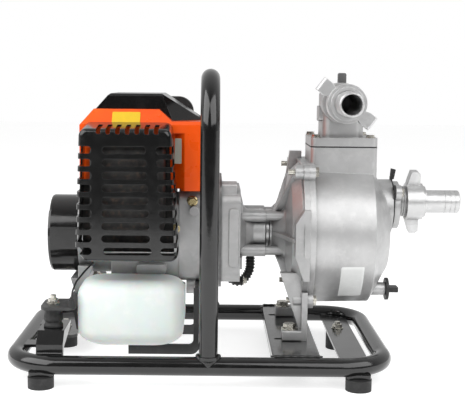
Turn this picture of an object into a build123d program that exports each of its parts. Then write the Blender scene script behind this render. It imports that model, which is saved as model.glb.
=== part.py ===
from build123d import *
import math
import os

# Portable fire pump: a small two-stroke engine and a centrifugal pump on one tube frame.
# Millimetres. +X runs from the starter to the suction pipe, +Y away from the muffler, +Z up.
# Everything is laid out from the middle of the base frame and moved to the box centre on export.

# ---------------------------------------------------------------- driving dimensions
TUBE_R = 9.5                 # frame and handle tube, outside radius
TUBE_WALL = 1.5
BEAD = 2.0                   # how far a weld bead stands out
RAIL_Z = 22.5                # height of the base tube's centre line
RAIL_Y = 120.0               # half distance between the two long rails
RAIL_X = 188.5               # half distance between the two end rails
RAIL_MID_X = 3.0             # middle of the base frame along X
RAIL_CORNER = 45.0           # bend radius of the base frame's corners
HOOP_X = 12.3                # plane of the carrying handle
HOOP_TOP = 316.0             # top of the carrying handle
HOOP_BEND = 50.0
PLATE_T = 3.0                # thickness of the welded plates

AXIS_Y = 12.0                # crank and pump shaft line
AXIS_Z = 140.0
SHAFT_R = 7.47               # journals that run in the ball bearings
BEARING_BORE = 7.5
RUN_GAP = 0.03               # radial clearance of a running fit
GAP = 0.4                    # clearance between parts that move past each other

CRANK_X = -54.0              # middle plane of the connecting rod
STROKE = 34.0
ROD_LENGTH = 62.0
BORE_R = 20.0
CRANK_CHAMBER_R = 38.0
CASE_LEFT = -128.0           # face between fan case and starter
CASE_RIGHT = 22.5            # face between crankcase and clutch plate
CLUTCH_LEFT = 25.0
CLUTCH_RIGHT = 45.0
ADAPTER_RIGHT = 73.0

FLANGE_LEFT = 110.0          # pump back cover's flange
FLANGE_T = 6.0
PARTING_X = FLANGE_LEFT + FLANGE_T
CASING_END = 185.0           # where the drum ends and the front cone starts
CONE_END = 205.0
CASING_R = 78.0
PUMP_Z = 142.0               # middle of the pump's flange
IMPELLER_R = 40.0

PIPE_R = 12.5                # 25 mm hose tails
PIPE_BORE_R = 10.3
THREAD_R = 16.6              # one inch pipe thread
SUCTION_Z = 174.0
SUCTION_FLANGE_X = 210.0
SUCTION_TIP = 285.6
DRAIN_SEAT = 202.7
DRAIN_Z = 81.5
OUTLET_X = 150.0
OUTLET_Z = 282.0
OUTLET_TIP_Y = -110.0
ELBOW_BASE_Z = 236.0
ELBOW_TOP = 294.0
PRIMING_X = 156.0

SUCTION_SEAT = 241.0         # where each hose tail's flange sits
OUTLET_SEAT = -71.0
TAIL_SHOULDER = 8.0          # the tail is a little thicker up to here
TAIL_SHOULDER_R = 13.0
NUT_BACK = -14.0             # wing nut's open end, from the seat

RAIL_BOTTOM = RAIL_Z - TUBE_R
RAIL_TOP = RAIL_Z + TUBE_R
FOOT_PLATE_TOP = RAIL_Z
FOOT_PLATE_BOTTOM = FOOT_PLATE_TOP - PLATE_T
NEAR_FEET = [(RAIL_MID_X - 157, -RAIL_Y), (RAIL_MID_X + 159, -RAIL_Y)]
FAR_FEET = [(-152, 43), (160, 43)]
BOLT_R = 3.0

PUMP_PLATE_LEFT = 76.5
PUMP_PLATE_RIGHT = 125.0
STAND_BOLT_X = 98.0
STAND_BOLTS_Y = (-45.0, 67.0)
SLOT_HALF = 16.0             # half length of the stand's adjusting slots
FOOT_PAD_TOP = RAIL_TOP + 11.0

BRACKET_TOP = 52.0           # plates on the rails that carry the rubber mounts
BRACKET_WIDTH = 27.0
NEAR_MOUNT = (-147.0, -80.0)
FAR_MOUNT = (-122.0, 80.0)
MOUNT_PLATE_BOTTOM = 73.0    # plate on top of the rubber mounts
MOUNT_PLATE_TOP = MOUNT_PLATE_BOTTOM + PLATE_T
LEG_X = (-134.0, -122.5)
TANK_ARMS_Y = (-70.0, 14.0)  # flat bars under the fuel tank
ARM_Z = (21.0, 31.5)

GUARD_FRONT = -105.0         # muffler guard's outer face
GUARD_BACK = -60.0
GUARD_T = 2.0

FRAME_LEFT = RAIL_MID_X - RAIL_X - TUBE_R
FOOT_R = 13.0
ORIGIN_X = (FRAME_LEFT + SUCTION_TIP) / 2
ORIGIN_Y = (TUBE_R + BEAD - FOOT_R) / 2


# ---------------------------------------------------------------- shape helpers
def box(x0, x1, y0, y1, z0, z1):
    """A block between two opposite corners."""
    return Pos((x0 + x1) / 2, (y0 + y1) / 2, (z0 + z1) / 2) * Box(x1 - x0, y1 - y0, z1 - z0)


def soft_box(x0, x1, y0, y1, z0, z1, radius):
    """A block with every edge rounded."""
    block = box(x0, x1, y0, y1, z0, z1)
    return fillet(block.edges(), radius)


def slab(x0, x1, y0, y1, z0, z1, radius, along):
    """A block whose four edges along one axis are rounded."""
    block = box(x0, x1, y0, y1, z0, z1)
    return fillet(block.edges().filter_by(along), radius)


def cyl_x(x0, x1, radius, y=AXIS_Y, z=AXIS_Z):
    return Pos(x0, y, z) * Rot(0, 90, 0) * Cylinder(radius, x1 - x0,
        align=(Align.CENTER, Align.CENTER, Align.MIN))


def cyl_y(y0, y1, radius, x, z):
    return Pos(x, y0, z) * Rot(-90, 0, 0) * Cylinder(radius, y1 - y0,
        align=(Align.CENTER, Align.CENTER, Align.MIN))


def cyl_z(z0, z1, radius, x, y):
    return Pos(x, y, z0) * Cylinder(radius, z1 - z0, align=(Align.CENTER, Align.CENTER, Align.MIN))


def turned(profile, y=AXIS_Y, z=AXIS_Z):
    """A solid turned about a line along X; the profile is a list of (x, radius) corners."""
    outline = Polyline([(x, r, 0) for x, r in profile], close=True)
    return Pos(0, y, z) * revolve(make_face(outline), axis=Axis.X)


def hexagon(radius, height):
    """A hexagon head standing on Z = 0."""
    return extrude(RegularPolygon(radius, 6), height)


def hex_screw_x(x_head, length, y, z, shank_r=3.0, toward=1):
    """A screw along X whose head sits on the plane x_head and points towards +X or -X."""
    head = hexagon(shank_r * 1.75, shank_r * 1.3) + cyl_z(0, 0.8, shank_r * 2.1, 0, 0)
    shank = cyl_z(-length, 0, shank_r, 0, 0)
    return Pos(x_head, y, z) * Rot(0, 90 * toward, 0) * (head + shank)


def hex_screw_z(z_head, length, x, y, shank_r=3.0):
    """A screw along Z with its head on top of the plane z_head."""
    head = hexagon(shank_r * 1.75, shank_r * 1.3) + cyl_z(0, 0.8, shank_r * 2.1, 0, 0)
    return Pos(x, y, z_head) * (head + cyl_z(-length, 0, shank_r, 0, 0))


def prism_y(points, y0, y1):
    """An outline of (x, z) points carried along Y."""
    face = make_face(Polyline([(x, 0, z) for x, z in points], close=True))
    return Pos(0, y0, 0) * extrude(face, y1 - y0, dir=(0, 1, 0))


def prism_x(points, x0, x1):
    """An outline of (y, z) points carried along X."""
    face = make_face(Polyline([(0, y, z) for y, z in points], close=True))
    return Pos(x0, 0, 0) * extrude(face, x1 - x0, dir=(1, 0, 0))


def prism_z(points, z0, z1):
    """An outline of (x, y) points carried up Z."""
    face = make_face(Polyline([(x, y, 0) for x, y in points], close=True))
    return Pos(0, 0, z0) * extrude(face, z1 - z0, dir=(0, 0, 1))


def tube_along(path, radius):
    """A round bar along an open path."""
    start = Plane(origin=path @ 0, z_dir=path % 0)
    return sweep(start * Circle(radius), path=path)


def ball_bearing(x0, x1, outer):
    """Inner and outer race with the ring of balls and shields between them."""
    wall = 3.0
    race = cyl_x(x0, x1, outer) - cyl_x(x0, x1, BEARING_BORE)
    groove = cyl_x(x1 - 0.6, x1, outer - wall) - cyl_x(x1 - 0.6, x1, BEARING_BORE + wall)
    return race - groove


# ---------------------------------------------------------------- frame
def rail_loop(radius):
    """The base frame's closed loop as a bar of the given radius."""
    half_x = RAIL_X - RAIL_CORNER
    half_y = RAIL_Y - RAIL_CORNER
    loop = Part()
    for side in (-1, 1):
        loop += cyl_x(RAIL_MID_X - half_x, RAIL_MID_X + half_x, radius, side * RAIL_Y, RAIL_Z)
        loop += cyl_y(-half_y, half_y, radius, RAIL_MID_X + side * RAIL_X, RAIL_Z)
    quarter = revolve(Plane.XZ * Pos(RAIL_CORNER, 0) * Circle(radius), Axis.Z, 90)
    centres = [(1, 1), (-1, 1), (-1, -1), (1, -1)]
    for turn, (sx, sy) in enumerate(centres):
        place = Pos(RAIL_MID_X + sx * half_x, sy * half_y, RAIL_Z)
        loop += place * Rot(0, 0, 90 * turn) * quarter
    return loop




def base_frame():
    frame = rail_loop(TUBE_R) - rail_loop(TUBE_R - TUBE_WALL)
    for x, y in NEAR_FEET:
        collar = slab(x - 12, x + 12, y - 5.5, y + 5.5, RAIL_BOTTOM - 1.5, RAIL_BOTTOM + 3, 3, Axis.Z)
        frame += collar - rail_loop(TUBE_R - 0.5)
        frame -= cyl_z(0, RAIL_Z, BOLT_R + 0.2, x, y)
    return frame


def handle_hoop():
    top = HOOP_TOP - TUBE_R
    near = (HOOP_X, -RAIL_Y, RAIL_Z)
    far = (HOOP_X, RAIL_Y, RAIL_Z)
    path = FilletPolyline(near, (HOOP_X, -RAIL_Y, top), (HOOP_X, RAIL_Y, top), far, radius=HOOP_BEND)
    hoop = tube_along(path, TUBE_R) - tube_along(path, TUBE_R - TUBE_WALL)
    for side in (-1, 1):
        bead = Cylinder(TUBE_R + BEAD, 3) - Cylinder(TUBE_R - 0.5, 3)
        hoop += Pos(HOOP_X, side * RAIL_Y, RAIL_TOP) * bead
    return hoop - rail_loop(TUBE_R)


def cross_plates():
    """The welded plates: one under the pump and two that carry the far feet."""
    rails = rail_loop(TUBE_R)
    plate = box(PUMP_PLATE_LEFT, PUMP_PLATE_RIGHT, -116, 116, RAIL_TOP - PLATE_T, RAIL_TOP)
    for x in (PUMP_PLATE_LEFT, PUMP_PLATE_RIGHT - PLATE_T):
        plate += box(x, x + PLATE_T, -107, 107, RAIL_TOP - 12, RAIL_TOP)
    plate = fillet(plate.edges().filter_by(Axis.Y).group_by(Axis.Z)[-1], 2.5)
    for y in STAND_BOLTS_Y:
        plate -= slab(STAND_BOLT_X - SLOT_HALF, STAND_BOLT_X + SLOT_HALF, y - 3.5, y + 3.5, 15, 35, 3.4,
            Axis.Z)
    end = box(147, 176, -116, 116, FOOT_PLATE_BOTTOM, FOOT_PLATE_TOP)
    tab = prism_z([(-190, 0), (-139, 0), (-134, 6), (-134, 80), (-190, 80)], FOOT_PLATE_BOTTOM,
        FOOT_PLATE_TOP)
    for x, y in FAR_FEET:
        hole = cyl_z(0, 40, BOLT_R + 0.2, x, y)
        end -= hole
        tab -= hole
    return (plate + end + tab) - rails


def rail_bracket(x, side):
    """A bent plate with gussets, welded to one long rail, under the rubber mount at the given x."""
    profile = [(109, 24), (109, 40), (97, BRACKET_TOP), (50, BRACKET_TOP)]
    profile += [(50, BRACKET_TOP - PLATE_T), (95.5, BRACKET_TOP - PLATE_T), (106, 39), (106, 24)]
    gusset = [(109, 24), (109, 40), (97, BRACKET_TOP), (54, BRACKET_TOP), (54, BRACKET_TOP - 6),
        (100, 36), (104, 24)]
    left = x - BRACKET_WIDTH / 2
    right = x + BRACKET_WIDTH / 2
    bracket = prism_x([(side * y, z) for y, z in profile], left, right)
    bracket += prism_x([(side * y, z) for y, z in gusset], right - PLATE_T, right)
    return bracket


def rail_brackets():
    """The two brackets that carry the engine's rubber mounts; a strap ties the near one to the end rail."""
    near_x, near_y = NEAR_MOUNT
    far_x, far_y = FAR_MOUNT
    left = near_x - BRACKET_WIDTH / 2
    near = rail_bracket(near_x, -1) + box(-186, left + 1, -70, -50, 27, 30)
    near += box(left - 2, left + 1, -70, -50, 27, BRACKET_TOP)
    far = rail_bracket(far_x, 1)
    near -= cyl_z(40, 60, BOLT_R + 0.3, near_x, near_y)
    far -= cyl_z(40, 60, BOLT_R + 0.3, far_x, far_y)
    return (near + far) - rail_loop(TUBE_R)


def rubber_feet():
    feet = Part()
    for x, y in NEAR_FEET:
        feet += cyl_z(0, RAIL_BOTTOM - 1.5, FOOT_R, x, y) - cyl_z(0, 4, 7, x, y)
    for x, y in FAR_FEET:
        feet += cyl_z(0, FOOT_PLATE_BOTTOM, FOOT_R, x, y) - cyl_z(0, 4, 7, x, y)
    for x, y in NEAR_FEET + FAR_FEET:
        feet -= cyl_z(0, RAIL_Z, BOLT_R, x, y)
    return feet




def frame_bolts():
    """Screws of the four feet, bolts of the pump's stand and the studs of the engine's mounts."""
    bolts = Part()
    for x, y in NEAR_FEET:
        bolts += cyl_z(1, 4, 6, x, y) + cyl_z(4, RAIL_BOTTOM + 3, BOLT_R, x, y)
    for x, y in FAR_FEET:
        bolts += cyl_z(1, 4, 6, x, y) + cyl_z(4, FOOT_PLATE_TOP + 8, BOLT_R, x, y)
        bolts += Pos(x, y, FOOT_PLATE_TOP) * (hexagon(5.5, 5) + cyl_z(0, 0.8, 6.8, 0, 0))
    for y in STAND_BOLTS_Y:
        bolts += cyl_z(FOOT_PAD_TOP - 20, FOOT_PAD_TOP + 1.4, BOLT_R, STAND_BOLT_X, y)
        bolts += Pos(STAND_BOLT_X, y, FOOT_PAD_TOP) * (hexagon(6.5, 6) + cyl_z(0, 1.4, 8.5, 0, 0))
        bolts += Pos(STAND_BOLT_X, y, RAIL_TOP - PLATE_T - 5) * hexagon(5.5, 5)
    for x, y in (NEAR_MOUNT, FAR_MOUNT):
        bolts += cyl_z(BRACKET_TOP - PLATE_T - 6, 85, BOLT_R, x, y)
        bolts += Pos(x, y, MOUNT_PLATE_TOP) * (hexagon(5.5, 5) + cyl_z(0, 1.2, 6.8, 0, 0))
        bolts += Pos(x, y, BRACKET_TOP - PLATE_T - 5) * hexagon(5.5, 5)
    return bolts




def engine_mount_bushes():
    bushes = Part()
    for x, y in (NEAR_MOUNT, FAR_MOUNT):
        bush = cyl_z(BRACKET_TOP, MOUNT_PLATE_BOTTOM, 10, x, y)
        bush -= cyl_z(BRACKET_TOP, MOUNT_PLATE_BOTTOM, BOLT_R, x, y)
        bushes += bush - Pos(x, y, BRACKET_TOP + 4) * Torus(10.6, 1.4)
    return bushes


def engine_mount_bracket():
    """The plate that joins the two rubber mounts and carries the crankcase leg."""
    bottom = MOUNT_PLATE_BOTTOM
    top = MOUNT_PLATE_TOP
    bracket = box(LEG_X[0], LEG_X[1], -60, 60, bottom, top)
    bracket += slab(NEAR_MOUNT[0] - 11, LEG_X[1], -100, -56, bottom, top, 9, Axis.Z)
    bracket += slab(LEG_X[0], FAR_MOUNT[0] + 12, 56, 100, bottom, top, 9, Axis.Z)
    web = [(-131, top), (LEG_X[1], top), (LEG_X[1], 50), (-124, 44), (-126, 44)]
    bracket += prism_y(web, -60, -57)
    for x, y in (NEAR_MOUNT, FAR_MOUNT):
        bracket -= cyl_z(60, 90, BOLT_R, x, y)
    return bracket


def tank_guard():
    """Two flat bars under the fuel tank that turn up to a strap below the clutch."""
    guard = box(-2, 3, TANK_ARMS_Y[0], TANK_ARMS_Y[1] + PLATE_T, 88, 91)
    for y in TANK_ARMS_Y:
        points = [(-71, ARM_Z[0]), (3, ARM_Z[0]), (3, 91), (-3.5, 91), (-3.5, ARM_Z[1]), (-71, ARM_Z[1])]
        arm = prism_y(points, y, y + PLATE_T)
        outer = arm.edges().filter_by(Axis.Y).sort_by_distance((3, y, ARM_Z[0]))[0]
        arm = fillet(outer, 9)
        inner = arm.edges().filter_by(Axis.Y).sort_by_distance((-3.5, y, ARM_Z[1]))[0]
        arm = fillet(inner, 5)
        guard += arm
    return guard


# ---------------------------------------------------------------- fuel
TANK_X = (-122.0, -13.0)
TANK_Z = (34.0, 102.0)
TANK_WALL = 2.0
FILLER_TILT = 30.0           # the filler's line above level, in degrees


def tank_body(inset):
    low = ARM_Z[1] + 1.5 + inset
    body = soft_box(TANK_X[0] + inset, TANK_X[1] - inset, -96 + inset, -39 - inset, TANK_Z[0] + inset,
        TANK_Z[1] - inset, 17 - inset)
    body += soft_box(-113 + inset, -20 - inset, -70 + inset, 8 - inset, TANK_Z[0] + inset, 87 - inset,
        14 - inset)
    return body + slab(-90 + inset, -36 - inset, -88 + inset, -20 - inset, low, 60, 8 - inset, Axis.Z)


def filler(z0, z1, radius):
    """A cylinder on the filler's slanted line."""
    return FILLER * cyl_z(z0, z1, radius, 0, 0)


FILLER = Pos(-66, 0, 60) * Rot(FILLER_TILT - 90, 0, 0)
NECK_R = 11.5
CAP_R = 16.0


def fuel_tank():
    tank = tank_body(0) + filler(-12, 25, NECK_R)
    return tank - tank_body(TANK_WALL) - filler(-14, 26, NECK_R - TANK_WALL)


def fuel_cap():
    cap = filler(17, 28, CAP_R) - filler(16, 25.4, NECK_R + GAP)
    for step in range(16):
        cap -= FILLER * Rot(0, 0, step * 22.5) * Pos(CAP_R + 0.5, 0, 22) * Cylinder(1.5, 14)
    return cap


# ---------------------------------------------------------------- engine castings
def crankcase():
    """Fan case, crank chamber and clutch-side casting in one aluminium body."""
    case = cyl_x(CASE_LEFT, -90, 47) + slab(-92, -18, -36, 60, 92, 178, 8, Axis.X)
    case += slab(-20, CASE_RIGHT, -37, 61, 91, 190, 12, Axis.X)
    leg = [(-136, 92.5), (CASE_LEFT, 92.5), (CASE_LEFT, 106), (-112, 106)]
    leg += [(LEG_X[1] - 1, MOUNT_PLATE_TOP), (LEG_X[0] + 3, MOUNT_PLATE_TOP)]
    case += prism_y(leg, -30, 54)
    case += cyl_x(-12, -3, 8, -28, 85)
    case += cyl_y(-44, -30, 5, -4, 168)
    case += slab(-64, -33, -50, -30, 102, 112, 3, Axis.Y)
    case -= cyl_x(CASE_LEFT - 1, -92, 44)
    case -= cyl_x(CRANK_X - 22, CRANK_X + 22, CRANK_CHAMBER_R)
    case -= cyl_x(-92, 0, 17.5)
    case -= cyl_x(-14, CASE_RIGHT + 1, 43)
    case -= cyl_z(150, 190, 24, CRANK_X, AXIS_Y)
    case -= box(-116, -94, -12, 36, 178, 195)
    return case


def ball_bearings():
    """Two crankshaft bearings and two pump shaft bearings."""
    places = [(-88, -77), (-31, -20)]
    bearings = Part()
    for x0, x1 in places:
        bearings += ball_bearing(x0, x1, 17.5)
    for x0, x1 in [(49, 58), (62, 71)]:
        bearings += ball_bearing(x0, x1, 16)
    return bearings


def cylinder():
    """Bore, cooling fins and the two port flanges in one casting."""
    top = 246
    barrel = cyl_z(176, top, 23.9, CRANK_X, AXIS_Y)
    barrel += slab(CRANK_X - 30, CRANK_X + 30, AXIS_Y - 26, AXIS_Y + 26, 178, 184, 5, Axis.Z)
    for step in range(9):
        z = 190 + step * 7
        barrel += slab(CRANK_X - 36, CRANK_X + 36, AXIS_Y - 36, AXIS_Y + 36, z, z + 2, 10, Axis.Z)
    barrel += slab(CRANK_X - 20, CRANK_X + 20, -40, AXIS_Y, 196, 224, 4, Axis.Y)
    barrel += slab(CRANK_X - 18, CRANK_X + 18, AXIS_Y, 52, 196, 224, 4, Axis.Y)
    barrel += cyl_z(top, 250, 11, CRANK_X, AXIS_Y)
    barrel -= cyl_z(171, 238, BORE_R, CRANK_X, AXIS_Y)
    barrel -= cyl_z(230, 260, 5, CRANK_X, AXIS_Y)
    barrel -= cyl_y(-41, AXIS_Y, 9, CRANK_X, 212)
    barrel -= cyl_y(AXIS_Y, 53, 8, CRANK_X, 206)
    return barrel


TOP_PIN_Z = AXIS_Z + STROKE / 2 + ROD_LENGTH


def piston():
    crown = cyl_z(TOP_PIN_Z - 14, TOP_PIN_Z + 16, BORE_R - 0.05, CRANK_X, AXIS_Y)
    crown -= cyl_z(TOP_PIN_Z - 15, TOP_PIN_Z + 11, 16.5, CRANK_X, AXIS_Y)
    bosses = cyl_x(CRANK_X - 17, CRANK_X + 17, 8.5, AXIS_Y, TOP_PIN_Z) - cyl_x(CRANK_X - 7, CRANK_X + 7,
        9, AXIS_Y, TOP_PIN_Z)
    for x0, x1 in [(CRANK_X - 17, CRANK_X - 7), (CRANK_X + 7, CRANK_X + 17)]:
        bosses += box(x0, x1, AXIS_Y - 5, AXIS_Y + 5, TOP_PIN_Z, TOP_PIN_Z + 12)
    piston_body = crown + bosses
    for z in (TOP_PIN_Z + 9, TOP_PIN_Z + 12.5):
        piston_body -= cyl_z(z, z + 1.5, BORE_R, CRANK_X, AXIS_Y) - cyl_z(z, z + 1.5, BORE_R - 1, CRANK_X,
            AXIS_Y)
    return piston_body - cyl_x(CRANK_X - 30, CRANK_X + 30, 5, AXIS_Y, TOP_PIN_Z)


def gudgeon_pin():
    return cyl_x(CRANK_X - 17, CRANK_X + 17, 5, AXIS_Y, TOP_PIN_Z) - cyl_x(CRANK_X - 18, CRANK_X + 18, 3,
        AXIS_Y, TOP_PIN_Z)


CRANK_PIN_Z = AXIS_Z + STROKE / 2


def connecting_rod():
    """The rod with the crank pin seated in its big end."""
    x0 = CRANK_X - 4.5
    x1 = CRANK_X + 4.5
    rod = cyl_x(x0, x1, 10, AXIS_Y, CRANK_PIN_Z) + cyl_x(x0, x1, 8, AXIS_Y, TOP_PIN_Z)
    rod += box(x0 + 2, x1 - 2, AXIS_Y - 5.5, AXIS_Y + 5.5, CRANK_PIN_Z, TOP_PIN_Z)
    rod -= cyl_x(x0, x1, 6.5, AXIS_Y, CRANK_PIN_Z)
    rod -= cyl_x(x0, x1, 5 + RUN_GAP, AXIS_Y, TOP_PIN_Z)
    pin = cyl_x(CRANK_X - 5.5, CRANK_X + 5.5, 6.5, AXIS_Y, CRANK_PIN_Z) - cyl_x(CRANK_X - 6, CRANK_X + 6,
        2.5, AXIS_Y, CRANK_PIN_Z)
    return rod + pin


def crankshaft():
    """Both journals and the two counterweighted webs; the webs stop short of the rod."""
    shaft = cyl_x(-140, CRANK_X - 7, SHAFT_R) + cyl_x(CRANK_X + 7, 25, SHAFT_R)
    for x0, x1 in [(CRANK_X - 17, CRANK_X - 6.5), (CRANK_X + 6.5, CRANK_X + 17)]:
        web = cyl_x(x0, x1, 28)
        for side in (-1, 1):
            web -= box(x0, x1, AXIS_Y + side * 29 - 17, AXIS_Y + side * 29 + 17, AXIS_Z - 4, AXIS_Z + 40)
        shaft += web
    return shaft


def flywheel():
    """Fan wheel with its starter cup."""
    wheel = cyl_x(-104, -98, 40) + cyl_x(-128, -98, 12)
    for step in range(18):
        blade = box(-124, -103, AXIS_Y - 1, AXIS_Y + 1, AXIS_Z + 20, AXIS_Z + 39)
        turn = Pos(0, AXIS_Y, AXIS_Z) * Rot(step * 20, 0, 0) * Pos(0, -AXIS_Y, -AXIS_Z)
        wheel += turn * blade
    wheel += cyl_x(-134, -126, 17) - cyl_x(-135, -130, 14)
    return wheel - cyl_x(-150, -90, SHAFT_R)


STARTER_Z = 136.0
STARTER_FACE = -161.0
STARTER_STEP_Z = 163.0       # above this height the cover's face steps back


def starter_housing():
    """Recoil starter cover with its post and the eyelet of the starter rope."""
    face = STARTER_FACE
    outer = [(CASE_LEFT, 0), (CASE_LEFT, 42), (face + 3, 42), (face + 0.8, 41), (face, 38.5), (face, 0)]
    inner = [(CASE_LEFT + 1, 0), (CASE_LEFT + 1, 39.5), (face + 3, 39.5), (face + 2.2, 37), (face + 2.2, 0)]
    cover = turned(outer, AXIS_Y, STARTER_Z) - turned(inner, AXIS_Y, STARTER_Z)
    for side in (-1, 1):
        cover -= box(-170, CASE_LEFT, AXIS_Y + side * 60 - 17.5, AXIS_Y + side * 60 + 17.5, 80, 200)
    for side in (-1, 1):
        wall = AXIS_Y + side * 41
        near, far = sorted((wall, wall + side * 1.5))
        cover += box(face + 3, CASE_LEFT, near, far, STARTER_Z - 12, STARTER_Z + 12)
    cover -= box(face - 1, face + 1.2, -50, 70, STARTER_STEP_Z, 200)
    cover += cyl_x(face + 1, -146, 6, AXIS_Y, AXIS_Z)
    for step in range(6):
        z = STARTER_Z - 18 + step * 7.2
        cover -= slab(face - 1, face + 5, AXIS_Y + 12, AXIS_Y + 30, z, z + 3.2, 1.5, Axis.X)
    eyelet = cyl_y(50, 60, 7, -148, 158)
    return (cover + eyelet) - cyl_y(30, 61, 3, -148, 158)


def starter_pulley():
    rim = cyl_x(-153, -144, 30) - (cyl_x(-151, -146, 31) - cyl_x(-151, -146, 25))
    pulley = rim - cyl_x(-160, -140, 6 + RUN_GAP)
    for step in range(3):
        turn = Pos(0, AXIS_Y, AXIS_Z) * Rot(step * 120, 0, 0) * Pos(0, -AXIS_Y, -AXIS_Z)
        pulley -= turn * cyl_x(-156, -140, 5, AXIS_Y, AXIS_Z + 15)
        pulley += turn * slab(-146.5, -141, AXIS_Y - 4, AXIS_Y + 4, AXIS_Z + 21.5, AXIS_Z + 28, 2, Axis.X)
    return pulley


def recoil_spring():
    """A flat spiral strip made of half turns that grow by one pitch."""
    turns = Sketch()
    pitch = 1.7
    for step in range(14):
        radius = 9 + step * pitch / 2
        centre = pitch / 4 * (1 if step % 2 else -1)
        half = (Circle(radius + 0.35) - Circle(radius - 0.35)) & (Pos(0,
            50 if step % 2 else -50) * Rectangle(100, 100))
        turns += Pos(centre, 0) * half
    return Pos(STARTER_FACE + 2.8, AXIS_Y, AXIS_Z) * extrude(Plane.YZ * turns, 4.4, dir=(1, 0, 0))


def ignition_coil():
    """The coil beside the flywheel with its lead and plug cap in one moulded piece."""
    core = slab(-112, -98, -6, 30, AXIS_Z + 41, AXIS_Z + 58, 3, Axis.X)
    points = [(-102, 22, 190), (-96.5, 22, 203), (-96.5, 20, 232), (-94, 18, 258), (-83, 14, 267.5),
        (-66, 12, 268)]
    path = FilletPolyline(*points, radius=6)
    lead = tube_along(path, 2.5)
    cap = cyl_z(256, 276, 9, CRANK_X, AXIS_Y) + cyl_x(-68, CRANK_X, 6, AXIS_Y, 268)
    return (core + lead + cap) - cyl_z(240, 272, 5.5, CRANK_X, AXIS_Y)


def spark_plug():
    plug = cyl_z(240, 250, 4.97, CRANK_X, AXIS_Y) + Pos(CRANK_X, AXIS_Y, 250) * hexagon(9, 6)
    return plug + cyl_z(256, 268, 4.8, CRANK_X, AXIS_Y) + cyl_z(268, 272, 3, CRANK_X, AXIS_Y)


# ---------------------------------------------------------------- covers
SHROUD_T = 2.5
SHROUD_BOTTOM = 190.5
SHROUD_FRONT = -58.0
SHROUD_BACK = 56.0


def shroud_outline(inset):
    """The orange cover's outline seen along Y, with the shoulder that steps down to the right."""
    left = -122 + inset
    right = 9 - inset
    top = 274 - inset
    shoulder = 262 - inset
    outline = [(left, SHROUD_BOTTOM), (left, 258), (-109, top), (-41, top), (-27, shoulder)]
    return outline + [(right - 5, shoulder), (right, 256), (right, SHROUD_BOTTOM)]


def engine_shroud():
    outer = prism_y(shroud_outline(0), SHROUD_FRONT, SHROUD_BACK)
    slope = [(SHROUD_FRONT - 5, 254), (SHROUD_FRONT + 18, 276), (SHROUD_FRONT - 5, 276)]
    outer -= prism_x(slope, -140, 40)
    inner = prism_y(shroud_outline(SHROUD_T), SHROUD_FRONT + SHROUD_T, SHROUD_BACK - SHROUD_T)
    inner -= prism_x([(y + 3, z - 3) for y, z in slope], -140, 40)
    outer -= prism_z(muffler_bay(0), 180, 250)
    inner -= prism_z(muffler_bay(SHROUD_T + 0.5), 180, 250 + SHROUD_T)
    shell = outer - inner - box(-130, 20, SHROUD_FRONT + SHROUD_T, SHROUD_BACK - SHROUD_T, 180,
        SHROUD_BOTTOM + 2)
    shell -= box(-110, -32, SHROUD_FRONT - 1, SHROUD_FRONT + 12, 180, 246)
    shell -= box(-96, -10, 50, 60, 180, 250)
    shell -= slab(-100, -42, -20, 35, 260, 280, 6, Axis.Z)
    return shell - crankcase_clearance()


def muffler_bay(wall):
    """Plan of the recess in the shroud's front, with a slanted flank on the right."""
    right = -14 + wall
    depth = SHROUD_FRONT + 7 + wall
    front = SHROUD_FRONT - 1
    return [(right, front), (right, SHROUD_FRONT + wall), (-24 + wall, depth), (-40 - wall, depth),
        (-40 - wall, front)]


def crankcase_clearance():
    return slab(-20.5, 30, -38, 61.5, 91, 190.5, 12, Axis.X)


def top_cover():
    """The black hood over the spark plug, chamfered at both ends and bevelled at the near right."""
    outline = [(-107.5, 274), (-95, 288), (-92, 290), (-38.5, 290), (5, 262), (-27, 262), (-41, 274)]
    hood = prism_y(outline, -36, 52)
    hollow = [(-103, 274), (-92, 287.5), (-44, 287.5), (-39, 276), (-39, 274)]
    hood -= prism_y(hollow, -33, 49)
    for y in (-36, 52):
        edge = hood.edges().filter_by(lambda e: abs(e.center().Y - y) < 0.1 and e.center().Z > 289)
        hood = chamfer(edge, 2.2)
    bevel = Plane(origin=(-39, -36, 290), z_dir=(0.868, -0.896, 0.372))
    return split(hood, bisect_by=bevel, keep=Keep.BOTTOM)


def muffler():
    body = soft_box(-108, -33, -97, -46, 150, 240, 9)
    shield = [(-119, 127), (-24, 127), (-30, 246), (-99, 246), (-99, 200), (-119, 200)]
    body += prism_y(shield, GUARD_BACK - 0.6, GUARD_BACK + 0.9)
    body = body - soft_box(-106, -35, -95, -48, 152, 238, 8)
    body += cyl_y(-47, -40, 12, CRANK_X, 212) - cyl_y(-47.5, -40, 9, CRANK_X, 212)
    body -= cyl_y(-50, -39, 9, CRANK_X, 212)
    return body + cyl_z(143, 153, 7, -48, -72) - cyl_z(140, 156, 5.5, -48, -72)


GUARD_BOTTOM_Z = 124.0
GUARD_TOP_Z = 256.0
SLOT_ROWS = 9
SLOT_PITCH = 12.6
SLOT_HEIGHT = 7.3
LOWEST_SLOT_Z = 134.7


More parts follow.
